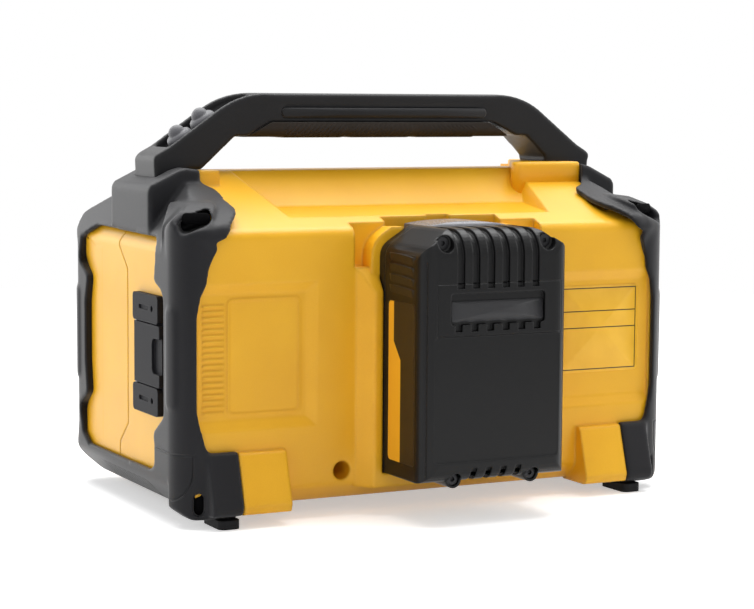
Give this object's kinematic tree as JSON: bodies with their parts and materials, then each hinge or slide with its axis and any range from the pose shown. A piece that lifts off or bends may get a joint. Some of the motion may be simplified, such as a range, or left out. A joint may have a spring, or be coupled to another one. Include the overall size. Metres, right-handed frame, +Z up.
{
  "type": "jobsite bluetooth speaker",
  "caption": "Rugged portable loudspeaker with rubber end bumpers, a fixed carrying handle, a socket flap and a slide-on battery pack on its rear.",
  "frame": {"origin": "on the floor, under the middle of the whole part's box", "axes": "+X along the length towards the end with the sockets, +Y towards the battery pack, +Z up"},
  "size_m": [0.2576, 0.188, 0.191],
  "materials": {
    "yellow_plastic": "fine moulded texture",
    "rubber": "matt moulded rubber",
    "dark_rubber": "matt moulded rubber",
    "handle_plastic": "fine moulded texture",
    "black_plastic": "half-gloss moulded plastic",
    "inner_plastic": "plain moulded plastic",
    "grey_plastic": "smooth moulded plastic",
    "panel": "printed panel, left bare",
    "pale_plastic": "plain moulded plastic",
    "lens": "clear",
    "steel": "zinc plated",
    "dark_metal": "black paint",
    "magnet": "dark ferrite and steel",
    "paper": "coated paper",
    "cloth": "impregnated cloth",
    "board": "lacquered circuit board",
    "aluminium": "plain",
    "contact": "plated",
    "cell": "film-wrapped cell"
  },
  "bodies": {
    "cabinet": {"front_shell": "yellow_plastic", "rear_shell": "yellow_plastic", "housing_seal": "rubber", "bumper_right": "rubber", "bumper_left": "rubber", "foot_pads": "dark_rubber", "housing_screws": "steel", "handle": "handle_plastic", "handle_grip": "rubber", "handle_domes": "rubber", "handle_screws": "steel", "grille": "dark_metal", "baffle": "inner_plastic", "baffle_screws": "steel", "driver_basket_right": "steel", "driver_basket_left": "steel", "driver_motor_right": "magnet", "driver_motor_left": "magnet", "driver_spider_right": "cloth", "driver_spider_left": "cloth", "driver_surround_right": "dark_rubber", "driver_surround_left": "dark_rubber", "driver_screws": "steel", "control_panel": "inner_plastic", "status_light": "lens", "button_board": "board", "main_board": "board", "heat_sink": "aluminium", "board_screws": "steel", "port_housing": "rubber", "hinge_pin": "steel", "usb_socket": "steel", "aux_jack": "inner_plastic", "port_board": "board", "wiring": "dark_rubber", "terminal_block": "inner_plastic", "terminal_blades": "contact"},
    "driver_cone_right": {"driver_cone_right": "paper"},
    "driver_cone_left": {"driver_cone_left": "paper"},
    "port_cover": {"port_cover": "rubber"},
    "power_button": {"power_button": "rubber"},
    "pairing_button": {"pairing_button": "rubber"},
    "source_button": {"source_button": "rubber"},
    "previous_button": {"previous_button": "rubber"},
    "play_button": {"play_button": "rubber"},
    "next_button": {"next_button": "rubber"},
    "volume_down_button": {"volume_down_button": "rubber"},
    "volume_up_button": {"volume_up_button": "rubber"},
    "pack": {"pack_case": "black_plastic", "pack_cover": "inner_plastic", "pack_side_panels": "panel", "pack_screws": "steel", "pack_cells": "cell", "cell_holder": "pale_plastic", "pack_board": "board", "pack_contacts": "contact", "release_springs": "steel"},
    "release_button": {"release_button": "grey_plastic"},
    "latch_hook": {"latch_hook": "steel"}
  },
  "joints": [
    {"name": "power_press", "type": "slide", "parent": "cabinet", "child": "power_button", "axis": [0, 1, 0], "range_m": [0, 0.001], "stiffness_N_per_m": 1500, "springref_m": -0.0006},
    {"name": "pairing_press", "type": "slide", "parent": "cabinet", "child": "pairing_button", "axis": [0, 1, 0], "range_m": [0, 0.001], "stiffness_N_per_m": 1500, "springref_m": -0.0006},
    {"name": "source_press", "type": "slide", "parent": "cabinet", "child": "source_button", "axis": [0, 1, 0], "range_m": [0, 0.001], "stiffness_N_per_m": 1500, "springref_m": -0.0006},
    {"name": "previous_press", "type": "slide", "parent": "cabinet", "child": "previous_button", "axis": [0, 1, 0], "range_m": [0, 0.001], "stiffness_N_per_m": 1500, "springref_m": -0.0006},
    {"name": "play_press", "type": "slide", "parent": "cabinet", "child": "play_button", "axis": [0, 1, 0], "range_m": [0, 0.001], "stiffness_N_per_m": 1500, "springref_m": -0.0006},
    {"name": "next_press", "type": "slide", "parent": "cabinet", "child": "next_button", "axis": [0, 1, 0], "range_m": [0, 0.001], "stiffness_N_per_m": 1500, "springref_m": -0.0006},
    {"name": "volume_down_press", "type": "slide", "parent": "cabinet", "child": "volume_down_button", "axis": [0, 1, 0], "range_m": [0, 0.001], "stiffness_N_per_m": 1500, "springref_m": -0.0006},
    {"name": "volume_up_press", "type": "slide", "parent": "cabinet", "child": "volume_up_button", "axis": [0, 1, 0], "range_m": [0, 0.001], "stiffness_N_per_m": 1500, "springref_m": -0.0006},
    {"name": "cone_right_stroke", "type": "slide", "parent": "cabinet", "child": "driver_cone_right", "axis": [0, 1, 0], "range_m": [-0.002, 0.002], "stiffness_N_per_m": 1200},
    {"name": "cone_left_stroke", "type": "slide", "parent": "cabinet", "child": "driver_cone_left", "axis": [0, 1, 0], "range_m": [-0.002, 0.002], "stiffness_N_per_m": 1200},
    {"name": "port_cover_hinge", "type": "hinge", "parent": "cabinet", "child": "port_cover", "pos_m": [0.1268, -0.003, 0.074], "axis": [0, 0, -1], "range_deg": [0, 110]},
    {"name": "pack_slide", "type": "slide", "parent": "cabinet", "child": "pack", "axis": [0, 0, 1], "range_m": [0, 0.12]},
    {"name": "release_press", "type": "slide", "parent": "pack", "child": "release_button", "axis": [0, 0, -1], "range_m": [0, 0.004], "stiffness_N_per_m": 1200, "springref_m": -0.002, "deforming": ["release_springs"]},
    {"name": "latch_draw", "type": "slide", "parent": "pack", "child": "latch_hook", "axis": [0, 1, 0], "range_m": [0, 0.004]}
  ],
  "couplings": [
    {"joint": "latch_draw", "follows": "release_press", "ratio": 1}
  ]
}
